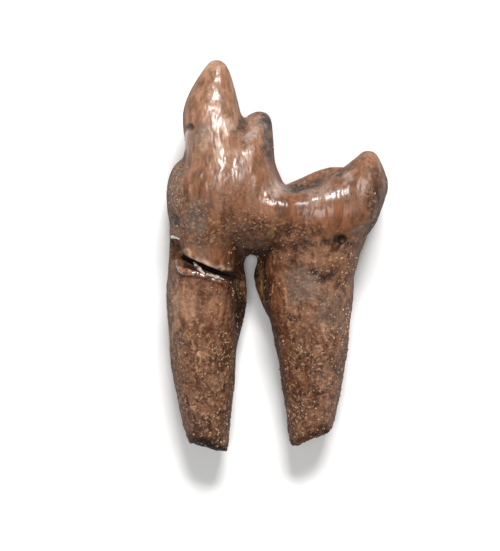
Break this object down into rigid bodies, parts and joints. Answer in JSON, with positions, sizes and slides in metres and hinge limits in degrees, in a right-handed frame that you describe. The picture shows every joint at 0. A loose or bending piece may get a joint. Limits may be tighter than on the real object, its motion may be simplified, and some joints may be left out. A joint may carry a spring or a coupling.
{
  "type": "fossil mammal molar",
  "caption": "Fossil lower molar with a tall main cusp, a basined heel and spread broken roots, lying on its tongue side.",
  "frame": {"origin": "bottom centre of the box round the lying tooth, on the surface it rests on", "axes": "+X from the front of the jaw to its back, +Y from the root ends to the cusps, +Z from the tongue side, which rests, up to the cheek side"},
  "size_m": [0.0124, 0.022, 0.0068],
  "materials": {
    "fossil_tooth": "glossy enamel and duller roots of mineralised tooth, warm brown"
  },
  "bodies": {
    "root": {"molar": "fossil_tooth"}
  },
  "joints": []
}
